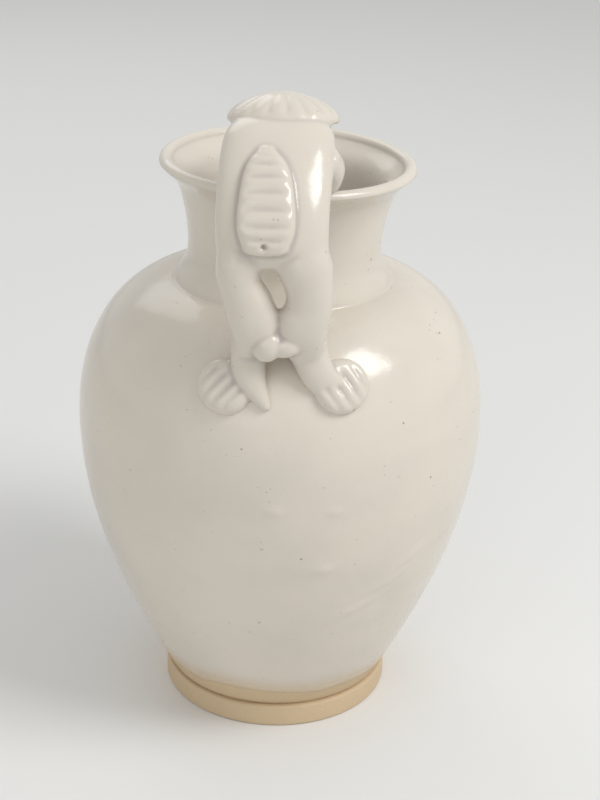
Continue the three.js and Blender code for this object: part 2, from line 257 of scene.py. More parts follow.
class Finishes(bpy.types.PropertyGroup):
    """Colours of the glaze and the clay."""

    glaze: colour("Glaze", "Thin ivory glaze", (0.72, 0.665, 0.575))
    # Grey of thick glaze, which is also the painted shade laid in the lion's hollows
    pooled_and_shade: colour("Pooled glaze and painted shade", "Thick glaze, and painted shade, in hollows", (0.50, 0.455, 0.415))
    thin: colour("Thin glaze", "Thin brownish glaze above the foot", (0.60, 0.47, 0.31))
    clay: colour("Clay", "Bare fired clay", (0.62, 0.48, 0.31))
    speck: colour("Speck", "Iron specks in the glaze", (0.16, 0.11, 0.08))


class Maths:
    """Wraps a value socket, so that shader sums are written as plain expressions."""

    def __init__(self, nodes, socket):
        self.nodes = nodes
        self.socket = socket

    def __add__(self, other):
        return self.nodes.maths("ADD", self, other)

    def __sub__(self, other):
        return self.nodes.maths("SUBTRACT", self, other)

    def __rsub__(self, other):
        return self.nodes.maths("SUBTRACT", other, self)

    def __mul__(self, other):
        return self.nodes.maths("MULTIPLY", self, other)

    def greater(self, other):
        """The greater of two values."""
        return self.nodes.maths("MAXIMUM", self, other)

    def step(self, low, high):
        """0 below low, 1 above high and a smooth climb between them."""
        node = self.nodes.node(
            "ShaderNodeMapRange",
            {"interpolation_type": "SMOOTHSTEP"},
            {"Value": self, "From Min": low, "From Max": high},
        )
        return Maths(self.nodes, node.outputs["Result"])


class Nodes:
    """A node tree, with one method that adds any node."""

    def __init__(self, tree):
        self.tree = tree

    def node(self, kind, settings=None, values=None):
        """Adds a node: its settings are set first, then the values or links of its sockets."""
        node = self.tree.nodes.new(kind)
        for key, value in (settings or {}).items():
            setattr(node, key, value)
        for key, value in (values or {}).items():
            self.feed(node.inputs[key], value)
        return node

    def feed(self, socket, value):
        """Links a socket, or sets its value."""
        if isinstance(value, Maths):
            value = value.socket
        if isinstance(value, bpy.types.NodeSocket):
            self.tree.links.new(value, socket)
        else:
            socket.default_value = value

    def maths(self, operation, *values):
        """One Math node on values that are numbers or expressions."""
        node = self.node("ShaderNodeMath", {"operation": operation}, dict(enumerate(values)))
        return Maths(self, node.outputs[0])


class Surface(Nodes):
    """A material under construction, with one Principled shader."""

    def __init__(self, name):
        self.material = bpy.data.materials.new(name)
        self.material.use_nodes = True
        super().__init__(self.material.node_tree)
        self.shader = self.tree.nodes["Principled BSDF"]
        self.place = self.node("ShaderNodeTexCoord").outputs["Object"]

    def noise(self, cells, detail=3.0):
        """Fractal noise from 0 to 1 on object coordinates, with so many cells to the metre."""
        values = {"Vector": self.place, "Scale": cells, "Detail": detail}
        return Maths(self, self.node("ShaderNodeTexNoise", values=values).outputs[0])

    def scatter(self, cells):
        """Distance, as a share of a cell, to the nearest of a scatter of points."""
        values = {"Vector": self.place, "Scale": cells}
        return Maths(self, self.node("ShaderNodeTexVoronoi", values=values).outputs["Distance"])

    def height(self):
        """Height above the underside."""
        node = self.node("ShaderNodeSeparateXYZ", values={"Vector": self.place})
        return Maths(self, node.outputs["Z"])

    def attribute(self, name):
        """The piece's own value at each point."""
        node = self.node("ShaderNodeAttribute", {"attribute_name": name})
        return Maths(self, node.outputs["Fac"])

    def blend(self, share, first, second):
        """Mixes two colours, each a socket or three numbers, by the share of the second."""
        node = self.node("ShaderNodeMix", {"data_type": "RGBA"}, {0: share})
        for place, paint in ((6, first), (7, second)):
            if not isinstance(paint, bpy.types.NodeSocket):
                paint = (*paint, 1)
            self.feed(node.inputs[place], paint)
        return node.outputs[2]

    def dress(self, tint, roughness, relief, depth):
        """Feeds the shader's colour and roughness, and its normal from a height map."""
        self.feed(self.shader.inputs["Base Color"], tint)
        self.feed(self.shader.inputs["Roughness"], roughness)
        bump = self.node("ShaderNodeBump", values={"Height": relief, "Distance": depth, "Strength": 1.0})
        self.feed(self.shader.inputs["Normal"], bump.outputs[0])
        return self.material


def specks(surface, cells, size):
    """Sparse round specks: points nearer than size, kept where a slow noise is high."""
    dots = 1 - surface.scatter(cells).step(size * 0.5, size)
    return dots * surface.noise(cells * SPECK_CLUSTER, 1.0).step(0.60, 0.66)


def glaze_look(surface, finish, pooling_and_shade):
    """Colour, roughness and relief of the ivory glaze.

    It is greyer where it is thick, and on the lion also where painted shade is laid in its hollows,
    with slow clouds and iron specks. The relief is orange peel with fine pinholes.
    """
    surface.shader.inputs["IOR"].default_value = GLAZE_IOR
    clouds = surface.noise(CLOUD_CELLS, 4.0).step(0.35, 0.75)
    # Greyer glaze where the pooling share is high: thick glaze, and on the lion painted shade in its
    # hollows
    shade = surface.blend(pooling_and_shade * 0.85 + clouds * 0.16, finish.glaze, finish.pooled_and_shade)
    dots = specks(surface, SPECK_CELLS, SPECK_RADIUS) * 0.75
    tint = surface.blend(dots, shade, finish.speck)
    roughness = surface.noise(SHEEN_CELLS) * 0.10 + GLAZE_ROUGHNESS + dots * 0.3
    peel = surface.noise(PEEL_CELLS, 2.0) * 0.55 + surface.noise(SWELL_CELLS, 2.0)
    pits = 1 - surface.scatter(PIT_CELLS).step(0.05, 0.13)
    relief = peel - pits * surface.noise(PIT_CLUSTER_CELLS, 1.0).step(0.58, 0.64) * 1.4
    return tint, roughness, relief


def drift(surface):
    """The slow change in the glaze's thickness over a piece."""
    return surface.noise(DRIFT_CELLS, 1.0) * 0.25


def spout_glaze(finish):
    """Glossy ivory glaze."""
    surface = Surface("spout glaze")
    return surface.dress(*glaze_look(surface, finish, drift(surface)), GLAZE_RELIEF)


def lion_glaze(finish):
    """Glossy ivory glaze, thicker than on the jar, and grey in the lion's hollows: pooled glaze with
    painted shade.
    """
    surface = Surface("lion glaze")
    # The hollows' attribute adds painted shade, along with pooled glaze
    pooling_and_shade = drift(surface) + surface.attribute("pooled_and_shade") + 0.12
    return surface.dress(*glaze_look(surface, finish, pooling_and_shade), GLAZE_RELIEF)


def jar_glaze(finish, stop):
    """The jar's glaze, which ends in an uneven line near the height stop, with bare clay below.

    Just above the line the glaze is thin and brownish.
    """
    surface = Surface("jar glaze")
    level = surface.height() + (surface.noise(STOP_CELLS, 4.0) * STOP_WANDER - STOP_WANDER / 2)
    bare = 1 - level.step(stop - STOP_SOFTNESS, stop + STOP_SOFTNESS)
    thin = 1 - level.step(stop, stop + THIN_BAND)
    tint, roughness, relief = glaze_look(surface, finish, drift(surface))
    warm = surface.blend(thin * 0.72, tint, finish.thin)
    grain = surface.noise(BARE_GRAIN_CELLS, 5.0)
    clay = surface.blend(grain.step(0.35, 0.7) * 0.4, finish.clay, finish.thin)
    return surface.dress(
        surface.blend(bare, warm, clay),
        (roughness + thin * 0.12) * (1 - bare) + bare * BARE_ROUGHNESS,
        relief * (1 - bare) + grain * bare * 1.2 - bare * 1.6,
        GLAZE_RELIEF,
    )


def foot_clay(finish):
    """Bare fired clay: fine grain, faint stains and iron specks."""
    surface = Surface("bare clay")
    grain = surface.noise(CLAY_GRAIN_CELLS, 5.0)
    stain = surface.noise(STAIN_CELLS, 4.0).step(0.42, 0.72)
    tint = surface.blend(grain.step(0.35, 0.7) * 0.45, finish.clay, finish.thin)
    tint = surface.blend(stain * 0.35, tint, finish.thin)
    dots = specks(surface, CLAY_SPECK_CELLS, CLAY_SPECK_RADIUS) * 0.6
    tint = surface.blend(dots, tint, finish.speck)
    relief = grain + surface.noise(FINE_GRAIN_CELLS, 2.0) * 0.4
    return surface.dress(tint, grain * 0.15 + CLAY_ROUGHNESS, relief, CLAY_RELIEF)


def close_skin(rings, first, last):
    """Vertices and faces of a closed skin over rings (ring, side, 3) with a pole at each end."""
    count, sides = rings.shape[:2]
    vertices = np.concatenate([rings.reshape(-1, 3), first[None], last[None]])
    side = np.arange(sides)
    following = (side + 1) % sides
    low = (np.arange(count - 1) * sides)[:, None]
    high = low + sides
    quads = np.stack([low + side, low + following, high + following, high + side], axis=-1)
    top = (count - 1) * sides
    start = np.stack([np.full(sides, count * sides), following, side], axis=-1)
    end = np.stack([np.full(sides, count * sides + 1), top + side, top + following], axis=-1)
    return vertices, quads.reshape(-1, 4).tolist() + start.tolist() + end.tolist()


def close_loop(rings):
    """Vertices and faces of a skin over rings (ring, side, 3) whose last ring joins the first."""
    count, sides = rings.shape[:2]
    side = np.arange(sides)
    following = (side + 1) % sides
    low = (np.arange(count) * sides)[:, None]
    high = (low + sides) % (count * sides)
    quads = np.stack([low + side, low + following, high + following, high + side], axis=-1)
    return rings.reshape(-1, 3), quads.reshape(-1, 4).tolist()


def joined(parts):
    """One vertex array and face list out of several."""
    vertices, faces, offset = [], [], 0
    for points, polygons in parts:
        vertices.append(points)
        faces += [[corner + offset for corner in polygon] for polygon in polygons]
        offset += len(points)
    return np.concatenate(vertices), faces


def add_object(name, vertices, faces):
    """An object with its faces turned outwards."""
    mesh = bpy.data.meshes.new(name)
    mesh.from_pydata(vertices.tolist(), [], faces)
    sheet = bmesh.new()
    sheet.from_mesh(mesh)
    bmesh.ops.recalc_face_normals(sheet, faces=sheet.faces)
    sheet.to_mesh(mesh)
    sheet.free()
    made = bpy.data.objects.new(name, mesh)
    bpy.context.scene.collection.objects.link(made)
    return made


def shade_smooth(mesh):
    """Smooth shading on every face."""
    mesh.polygons.foreach_set("use_smooth", np.ones(len(mesh.polygons), bool))


def add_piece(name, skin, material, replaced):
    """Makes a visible piece, and tells the frame what it rides, replaces and is made of."""
    piece = add_object(name, *skin)
    shade_smooth(piece.data)
    piece.data.materials.append(material)
    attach(piece, "root")
    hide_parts(*replaced)
    return piece


def apply_modifiers(piece):
    """Bakes a piece's modifiers into its mesh."""
    graph = bpy.context.evaluated_depsgraph_get()
    mesh = bpy.data.meshes.new_from_object(piece.evaluated_get(graph))
    piece.modifiers.clear()
    piece.data = mesh
    return mesh


def cut_out(piece, name, skin):
    """Cuts a closed shape out of a piece."""
    cutter = add_object(name, *skin)
    cut = piece.modifiers.new(name, "BOOLEAN")
    cut.operation = "DIFFERENCE"
    cut.object = cutter
    apply_modifiers(piece)
    bpy.data.objects.remove(cutter)


def spline(points, places):
    """Uniform Catmull-Rom curve through points (n, k), read at places from 0 to 1.

    Between two points it is the cubic whose slope at each is half the step between its neighbours.
    """
    points = np.asarray(points, float)
    ends = np.concatenate([[2 * points[0] - points[1]], points, [2 * points[-1] - points[-2]]])
    reach = np.clip(np.asarray(places) * (len(points) - 1), 0, len(points) - 1 - 1e-9)
    index = reach.astype(int)
    t = (reach - index)[:, None]
    a, b, c, d = (ends[index + k] for k in range(4))
    return b + 0.5 * t * (c - a + t * (2 * a - 5 * b + 4 * c - d + t * (3 * (b - c) + d - a)))


def turns(sides):
    """Angles that share a full turn evenly."""
    return 2 * np.pi * np.arange(sides) / sides


def revolve(profile, sides):
    """Rings of a profile (n, 2) of radius and height about Z: x and y are radius times cos and sin."""
    angle = turns(sides)
    radius, height = profile[:, :1], profile[:, 1:]
    return np.stack([radius * np.cos(angle), radius * np.sin(angle), height + 0 * angle], axis=-1)


def jar_curve(bottom, bottom_radius, belly, belly_height, top, top_radius, low, high):
    """Profile of a jar, with low points on its flank and high points on its shoulder.

    Flank: the radius grows as the sine of the height's share of a quarter turn, raised to
    FLANK_POWER. Shoulder: a quarter of a superellipse, with exponent 2 across and SHOULDER_POWER
    in height.
    """
    share = np.linspace(0, 1, low, endpoint=False)
    swell = np.sin(share * np.pi / 2) ** FLANK_POWER
    flank_radius = bottom_radius + (belly - bottom_radius) * swell
    flank = np.stack([flank_radius, bottom + (belly_height - bottom) * share], 1)
    angle = np.linspace(0, np.pi / 2, high)
    rise = np.sin(angle) ** (2 / SHOULDER_POWER)
    shoulder_radius = top_radius + (belly - top_radius) * np.cos(angle)
    shoulder = np.stack([shoulder_radius, belly_height + (top - belly_height) * rise], 1)
    return np.concatenate([flank, shoulder])


def body_radius(sizes, height):
    """Outer radius of the jar at each height, by the curves of jar_curve."""
    low = (height - sizes.foot_height) / (sizes.belly_height - sizes.foot_height)
    swell = np.sin(np.clip(low, 0, 1) * np.pi / 2) ** FLANK_POWER
    flank = sizes.flank_radius + (sizes.belly_radius - sizes.flank_radius) * swell
    high = (height - sizes.belly_height) / (sizes.shoulder_height - sizes.belly_height)
    bulge = np.sqrt(1 - np.clip(high, 0, 1) ** SHOULDER_POWER)
    shoulder = sizes.seat_radius + (sizes.belly_radius - sizes.seat_radius) * bulge
    return np.where(height <= sizes.belly_height, flank, shoulder)


def neck_curve(sizes):
    """Outer profile of the neck: a spline through the crease, the waist, the throat and the lip."""
    lip = sizes.neck_wall / 2
    points = [
        (sizes.seat_radius, sizes.shoulder_height),
        (sizes.waist_radius, sizes.shoulder_height + sizes.waist_rise),
        (sizes.throat_radius, sizes.rim_height - sizes.throat_drop),
        (sizes.rim_radius, sizes.rim_height - lip),
    ]
    return spline(points, np.linspace(0, 1, 56))


def vessel_profile(sizes):
    """Radius and height from the foot's ledge, up and round the half-round lip, down to the floor."""
    outer = jar_curve(
        sizes.foot_height, sizes.flank_radius, sizes.belly_radius, sizes.belly_height,
        sizes.shoulder_height, sizes.seat_radius, 90, 70,
    )
    neck = neck_curve(sizes)
    lip = sizes.neck_wall / 2
    angle = np.linspace(0, np.pi, 14)[1:-1]
    rounded = np.stack(
        [sizes.rim_radius - lip + lip * np.cos(angle), sizes.rim_height - lip + lip * np.sin(angle)], 1
    )
    bore = neck[::-1] - [sizes.neck_wall, 0]
    hollow = jar_curve(
        sizes.foot_height + sizes.floor, sizes.flank_radius - sizes.wall,
        sizes.belly_radius - sizes.wall, sizes.belly_height,
        sizes.shoulder_height - sizes.wall, sizes.seat_radius - sizes.neck_wall, 40, 30,
    )[::-1]
    return np.concatenate([outer, neck[1:], rounded, bore, hollow])


def hand_thrown(points, sizes):
    """Uneven wall and leaning neck of a thrown jar.

    The radius loses fine throwing lines, a slow three-sided sway and a bell curve for each of
    WALL_MARKS. Above the shoulder x moves sideways with height, and the rim dips on that side.
    """
    x, y, z = points[..., 0], points[..., 1], points[..., 2]
    turn = np.arctan2(y, x)
    rings = 0.5 + 0.5 * np.sin(z / THROWING_PITCH + 0.8 * np.sin(turn))
    sway = 0.5 + 0.5 * np.sin(3 * turn + z / SWAY_PITCH)
    depth = THROWING_DEPTH * rings + SWAY_DEPTH * sway
    for angle, height, half_length, half_width, tilt, dent in WALL_MARKS:
        across = (turn - np.radians(angle)) * sizes.belly_radius
        up = z - height * MM
        along = (across * np.cos(tilt) + up * np.sin(tilt)) / (half_length * MM)
        square = (up * np.cos(tilt) - across * np.sin(tilt)) / (half_width * MM)
        depth = depth + dent * MM * np.exp(-along ** 2 - square ** 2)
    radius = np.hypot(x, y)
    share = (radius - depth) / radius
    rise = np.maximum(z - sizes.shoulder_height, 0)
    drop = np.tan(sizes.lean) * x * rise / (sizes.rim_height - sizes.shoulder_height)
    return np.stack([x * share + np.tan(sizes.lean) * rise, y * share, z - drop], axis=-1)


def superellipse(angle, power):
    """Cosine and sine of the angle, each raised to 2 / power with its sign kept."""
    wide, deep = np.cos(angle), np.sin(angle)
    return np.sign(wide) * np.abs(wide) ** (2 / power), np.sign(deep) * np.abs(deep) ** (2 / power)


def unit(vectors):
    """Vectors of length 1."""
    return vectors / np.linalg.norm(vectors, axis=1, keepdims=True)


def limb(path, widths, cap, sides=48, steps=60, power=2.0, wave=None):
    """Superellipse sections along a spline: half widths across X and half depths square to it.

    Each end is closed by half an oval of length cap: at angle a the section moves out by cap times
    sin a and shrinks by cos a. wave gives a height for each place along the way, which is added to
    the half depth and fades out towards both edges.
    """
    places = np.linspace(0, 1, steps)
    centre = spline(path, places)
    size = spline(widths, places)
    along = unit(np.gradient(centre, axis=0))
    closing = np.radians(CAP_ANGLES)
    caps = len(closing)
    order = np.concatenate([np.zeros(caps, int), np.arange(steps), np.full(caps, steps - 1)])
    ends = cap * np.sin(closing)
    shift = np.concatenate([-ends, np.zeros(steps), ends[::-1]])
    scale = np.concatenate([np.cos(closing), np.ones(steps), np.cos(closing)[::-1]])
    centre, size, along = centre[order] + shift[:, None] * along[order], size[order], along[order]
    across = unit(np.array([1.0, 0, 0]) - along * along[:, :1])
    out = np.cross(along, across)
    wide, deep = superellipse(turns(sides), power)
    depth = size[:, 1:] + 0 * wide
    if wave is not None:
        border = np.clip((WAVE_EDGE - np.abs(wide)) / WAVE_FADE, 0, 1)
        depth[caps:caps + steps] += wave(places)[:, None] * border
    rings = (
        centre[:, None]
        + (size[:, 0] * scale)[:, None, None] * wide[:, None] * across[:, None]
        + (depth * scale[:, None] * deep)[..., None] * out[:, None]
    )
    start = centre[caps] - cap * along[0]
    finish = centre[-caps - 1] + cap * along[-1]
    return close_skin(rings, start, finish)


def lump(centre, radii, turn=None, wide=40, high=24):
    """An egg with the given half sizes, turned by a matrix.

    At each angle from the lower pole, x and y are its sine times the cosine and the sine of the
    turn round the axis, and z is less its cosine, each times its half size.
    """
    level = np.linspace(0, np.pi, high)[1:-1, None]
    angle = turns(wide)[None]
    rings = np.stack(
        [
            np.sin(level) * np.cos(angle) * radii[0],
            np.sin(level) * np.sin(angle) * radii[1],
            -np.cos(level) * radii[2] + 0 * angle,
        ],
        axis=-1,
    )
    poles = np.array([[0, 0, -radii[2]], [0, 0, radii[2]]], float)
    if turn is not None:
        rings = rings @ turn.T
        poles = poles @ turn.T
    return close_skin(rings + centre, *(poles + centre))


def rotation(axis, angle):
    """A 3 by 3 rotation about a main axis."""
    return np.array(Matrix.Rotation(angle, 3, axis))


class LionPlaces:
    """Points on the lion in metres, from millimetres off the pieces that carry it."""

    def __init__(self, sizes):
        self.sizes = sizes
        self.neck_rise = sizes.rim_height - sizes.shoulder_height

    def handle(self, x, out, up):
        """x across, out behind the rim, and up by a share of the neck's height."""
        y = -(self.sizes.rim_radius + out * MM)
        return np.array([x * MM, y, self.sizes.shoulder_height + up * self.neck_rise])

    def shoulder(self, x, drop, lift):
        """x across, drop below the crease of the neck, and lift off the jar's surface."""
        height = self.sizes.shoulder_height - drop * MM
        radius = body_radius(self.sizes, height) + lift * MM
        return np.array([x * MM, -np.sqrt(radius ** 2 - (x * MM) ** 2), height])

    def head(self, x, inwards, above):
        """x across, inwards from the rim, and above it."""
        return np.array(
            [x * MM, -self.sizes.rim_radius + inwards * MM, self.sizes.rim_height + above * MM]
        )


def millimetres(*rows):
    """Rows of numbers in millimetres as metres."""
    return np.array(rows) * MM


def back(at, lion):
    """The arched back, from between the thighs over the rim to the head."""
    wide, deep, shift = lion.half_width / MM, lion.half_depth / MM, lion.shift / MM
    path = [
        at.handle(shift, 18.4, 0.62), at.handle(shift, 17.8, 0.76), at.handle(shift, 14, 0.97),
        at.handle(shift + 0.6, 6.6, 1.19), at.handle(shift + 1.6, -2.4, 1.36),
        at.handle(shift + 2.2, -12, 1.42),
    ]
    widths = millimetres(
        (wide - 1.5, deep - 2), (wide, deep - 0.2), (wide, deep),
        (wide + 0.2, deep), (wide, deep), (wide - 2, deep - 1),
    )
    return limb(path, widths, 2 * MM, sides=72, steps=90, power=2.5)


def left_hind_leg(at, lion):
    """Thigh, hock and the pointed heel beside the left paw."""
    leg = lion.leg_depth / MM
    path = [
        at.handle(-10.4, 16.6, 0.86), at.handle(-13.3, 18.7, 0.6), at.handle(-13.1, 19, 0.46),
        at.handle(-10.2, 19, 0.3), at.handle(-8, 19, 0.1), at.shoulder(-10, 4, 9),
        at.shoulder(-9.2, 12, 2.4), at.shoulder(-4.2, 20.5, 0.2),
    ]
    widths = millimetres(
        (5.8, leg - 1.5), (6.9, leg + 0.7), (6.4, leg + 0.4), (7.7, leg + 0.3),
        (7.6, leg), (5.6, leg - 1), (4.9, leg - 2), (1.6, 2),
    )
    return limb(path, widths, 1.2 * MM, power=2.3)


def right_hind_leg(at, lion):
    """Thigh, hock and the lower leg that ends on the right paw."""
    leg = lion.leg_depth / MM
    path = [
        at.handle(3.4, 16.6, 0.88), at.handle(6.4, 18.7, 0.6), at.handle(7.7, 19, 0.46),
        at.handle(8.2, 19, 0.3), at.handle(6, 19, 0.1), at.shoulder(8.4, 4, 9),
        at.shoulder(11.5, 11, 2.4), at.shoulder(15.5, 15.5, 0.8),
    ]
    widths = millimetres(
        (6, leg - 1.5), (8.6, leg + 0.7), (7.5, leg + 0.4), (7.1, leg + 0.3),
        (8, leg), (6, leg - 1), (5.4, leg - 2), (4.8, 2.6),
    )
    return limb(path, widths, 1.2 * MM, power=2.3)


def hock_knot(at):
    """The clay pressed between the hocks, and the two ends of the knot over it."""
    return [
        lump(at.handle(-1, 17.6, 0.09), (5.5 * MM, 5.2 * MM, 5.2 * MM)),
        lump(at.handle(-4.2, 22.2, 0.0), (4.6 * MM, 4.2 * MM, 5.2 * MM), rotation("Y", 0.5)),
        lump(at.handle(1.4, 22.2, 0.0), (5.2 * MM, 3.8 * MM, 3.4 * MM), rotation("Y", -0.2)),
    ]


def tail(at, lion):
    """The tongue-shaped plate up the back; its ribs follow the sine of the way along it."""

    def ribs(way):
        rounded = np.abs(np.sin(np.pi * lion.tail_ribs * way)) ** 0.7 - 0.6
        return lion.rib_depth * rounded * np.clip((0.97 - way) / 0.06, 0, 1)

    wide = lion.tail_half_width / MM
    path = [
        at.handle(-5.2, 25.4, 0.76), at.handle(-5.2, 23.8, 0.92), at.handle(-5.2, 18.8, 1.13),
        at.handle(-5.4, 12.8, 1.29), at.handle(-5.5, 8.4, 1.38),
    ]
    widths = millimetres((wide - 2, 2.2), (wide, 2.4), (wide - 0.6, 2.4), (wide - 2.4, 2.3), (2.4, 1.6))
    return limb(path, widths, 1.6 * MM, sides=64, steps=200, power=3.4, wave=ribs)


def muzzle(at):
    """Skull, muzzle, lower jaw and nose."""
    return [
        lump(at.head(-1.3, 20.5, 13.6), (13.5 * MM, 15 * MM, 10 * MM)),
        lump(at.head(-1.3, 34.6, 10), (9.2 * MM, 8 * MM, 6.2 * MM)),
        lump(at.head(-1.3, 32.6, 4.6), (7.2 * MM, 8.2 * MM, 2.7 * MM)),
        lump(at.head(-1.3, 42, 13), (3.4 * MM, 2.3 * MM, 2.3 * MM)),
    ]


def mane(at, lion):
    """A low dome with grooves that run out from its crown and a rolled lip along its edge.

    Its size falls as (1 - 0.985 u^1.6)^0.6, where u runs from 0 just above the lip to 1 at the
    crown. The lip is a bell curve on top of that, and the grooves are the rounded sine of the angle.
    """
    half_width, half_length, height = 17.9 * MM, 14.9 * MM, 9.7 * MM
    rise = np.array([0, 0.04, 0.12, 0.2, 0.27, 0.33, 0.42, 0.54, 0.66, 0.78, 0.88, 0.95, 0.99])
    dome = (1 - 0.985 * (np.clip(rise - 0.22, 0, 1) / 0.78) ** 1.6) ** 0.6
    lip = 0.03 * np.exp(-((rise - 0.13) / 0.09) ** 2)
    size = (dome * 0.955 + lip)[:, None]
    angle = turns(204)[None]
    groove = np.abs(np.sin(lion.mane_ribs * angle / 2)) ** 0.6 - 1
    depth = 0.055 * np.clip((rise[:, None] - 0.25) / 0.12, 0, 1)
    ribbed = size * (1 + groove * depth)
    rings = np.stack(
        [
            half_width * ribbed * np.cos(angle),
            half_length * ribbed * np.sin(angle),
            (height * rise)[:, None] * (1 + 0.035 * groove),
        ],
        axis=-1,
    )
    turn = rotation("X", -0.2)
    centre = at.head(-0.8, 15.5, 18.2)
    poles = np.array([[0, 0, 0], [0, 0, height]]) @ turn.T + centre
    return close_skin(rings @ turn.T + centre, *poles)


def hind_paw(sizes, lion, x, drop, toe_angle):
    """An oval pad pressed on the shoulder, with rounded ridges side by side along the foot.

    Over the pad the height is that of a flat-topped cushion, (1 - 0.98 r^5)^0.5 for r from 0 in
    the middle to 1 at the edge, less a groove between each pair of ridges.
    """
    height = sizes.shoulder_height - drop
    radius = body_radius(sizes, height) - PAW_SINK
    centre = np.array([x, -np.sqrt(radius ** 2 - x ** 2), height])
    slope = (body_radius(sizes, height - MM) - body_radius(sizes, height + MM)) / (2 * MM)
    turn = rotation("Z", np.arcsin(x / radius)) @ rotation("X", -np.arctan(slope))
    turn = turn @ rotation("Y", -toe_angle)
    across, along = lion.paw_radius, lion.paw_radius * 0.94
    rise, sink, groove = 4.3 * MM, 2 * MM, 1.25 * MM
    reach = np.linspace(0, 1, 40)[1:, None] ** 0.7
    angle = turns(120)[None]
    flat_x, flat_z = reach * np.cos(angle), reach * np.sin(angle)
    ridge = np.abs(np.sin(np.pi * lion.toes * (flat_x + 1) / 2)) ** 0.6 - 1
    fade = np.clip((0.98 - reach) / 0.12, 0, 1) * np.clip((0.55 - flat_z) / 0.3, 0, 1)
    top = rise * np.sqrt(1 - reach ** 5 * 0.98) + groove * ridge * fade
    upper = np.stack([flat_x * across, -top, flat_z * along], -1)
    under = np.stack([flat_x * across, top * 0 + sink, flat_z * along], -1)[-1:]
    rings = np.concatenate([upper, under]) @ turn.T + centre
    poles = np.array([[0, -rise, 0], [0, sink, 0]]) @ turn.T + centre
    return close_skin(rings, *poles)


def face_and_foreleg(at, side):
    """Eye, ear, foreleg and forepaw on one side."""
    path = [
        at.head(-0.9 + side * 12.6, -3, 12),
        at.head(-0.9 + side * 14.3, 0.5, 8),
        at.head(-0.9 + side * 14.2, 3.4, 3.4),
    ]
    return [
        lump(at.head(-1.3 + side * 6.2, 33.2, 16.4), (2.2 * MM, 2.2 * MM, 2.1 * MM), None, 24, 16),
        lump(at.head(-1.3 + side * 11.2, 27.6, 18.4), (3.1 * MM, 2.2 * MM, 4 * MM), None, 24, 16),
        limb(path, millimetres((4.6, 5), (4.8, 5), (4.2, 4.2)), 2 * MM, 32, 24),
        lump(at.head(-0.9 + side * 13.6, 7, 1.6), (4.6 * MM, 5 * MM, 3.4 * MM)),
    ]


def lion_parts(sizes, lion):
    """All the modelled clay of the lion, as closed overlapping lumps and limbs."""
    at = LionPlaces(sizes)
    parts = [back(at, lion), left_hind_leg(at, lion), right_hind_leg(at, lion)]
    parts += hock_knot(at)
    parts.append(tail(at, lion))
    parts += muzzle(at)
    parts.append(mane(at, lion))
    parts.append(hind_paw(sizes, lion, -17 * MM, 16.2 * MM, -np.radians(38)))
    parts.append(hind_paw(sizes, lion, 18.6 * MM, 15.6 * MM, np.radians(28)))
    for side in (-1, 1):
        parts += face_and_foreleg(at, side)
    return parts


def relax(points, edges, times, share=0.5):
    """Moves each vertex towards the mean of its neighbours, a share of the way each time."""
    ends = np.concatenate([edges, edges[:, ::-1]])
    count = np.bincount(ends[:, 0], minlength=len(points))[:, None]
    for _ in range(times):
        sums = [np.bincount(ends[:, 0], points[ends[:, 1], axis], len(points)) for axis in range(3)]
        points = points + share * (np.stack(sums, 1) / count - points)
    return points


def thigh_share(points):
    """1 where the thighs join the back and 0 elsewhere, with straight fades between.

    The band reaches up to THIGH_TOP under the tail and up to FLANK_TOP on both sides of it.
    """
    height = points[:, 2:]
    beside = np.clip((np.abs(points[:, :1] - TAIL_MIDDLE) - TAIL_CLEARANCE) / TAIL_FADE, 0, 1)
    below = np.clip((THIGH_TOP - height) / THIGH_FADE, 0, 1)
    flank = beside * np.clip((FLANK_TOP - height) / THIGH_FADE, 0, 1)
    above = np.clip((height - THIGH_BOTTOM) / THIGH_FADE, 0, 1)
    return above * np.maximum(below, flank) * (points[:, 1:2] < THIGH_Y)


def press_pinhole(points):
    """Pushes the pinhole in at the tail's root, as deep as a bell curve of the distance from it."""
    away = np.hypot(points[:, 0] - PINHOLE_X, points[:, 2] - PINHOLE_HEIGHT) / PINHOLE_RADIUS
    points[:, 1] += PINHOLE_DEPTH * np.exp(-away ** 2) * (points[:, 1] < PINHOLE_Y)


def mark_hollows(mesh, points, edges):
    """Writes the lion's hollow attribute: how far smoothing would lift each vertex, from 0 to 1. It
    greys the hollows as pooled glaze and painted shade.
    """
    normals = np.empty(len(mesh.vertices) * 3)
    mesh.vertices.foreach_get("normal", normals)
    lift = ((relax(points, edges, HOLLOW_PASSES) - points) * normals.reshape(-1, 3)).sum(1)
    # Deeper hollows get more painted shade, along with pooled glaze
    depth = np.clip(lift / POOL_AND_SHADE_DEPTH, 0, 1)[:, None]
    pooled_and_shade = relax(np.repeat(depth, 3, 1), edges, POOL_AND_SHADE_PASSES)[:, 0]
    attribute = mesh.attributes.new("pooled_and_shade", "FLOAT", "POINT")
    attribute.data.foreach_set("value", pooled_and_shade.astype(np.float32))


def fuse(piece, grain):
    """Fuses the overlapping lumps into one skin, smooths it, and marks its hollows."""
    remesh = piece.modifiers.new("fuse", "REMESH")
    remesh.mode = "VOXEL"
    remesh.voxel_size = grain
    mesh = apply_modifiers(piece)
    points = np.empty(len(mesh.vertices) * 3)
    mesh.vertices.foreach_get("co", points)
    edges = np.empty(len(mesh.edges) * 2, int)
    mesh.edges.foreach_get("vertices", edges)
    edges = edges.reshape(-1, 2)
    points = relax(points.reshape(-1, 3), edges, FUSE_PASSES)
    points = relax(points, edges, THIGH_PASSES, 0.5 * thigh_share(points))
    press_pinhole(points)
    mesh.vertices.foreach_set("co", points.ravel())
    mesh.update()
    mark_hollows(mesh, points, edges)
    shade_smooth(mesh)


def spout_base(sizes):
    """Where the spout's centre line meets the jar's surface."""
    return np.array([0, body_radius(sizes, SPOUT_HEIGHT), SPOUT_HEIGHT])


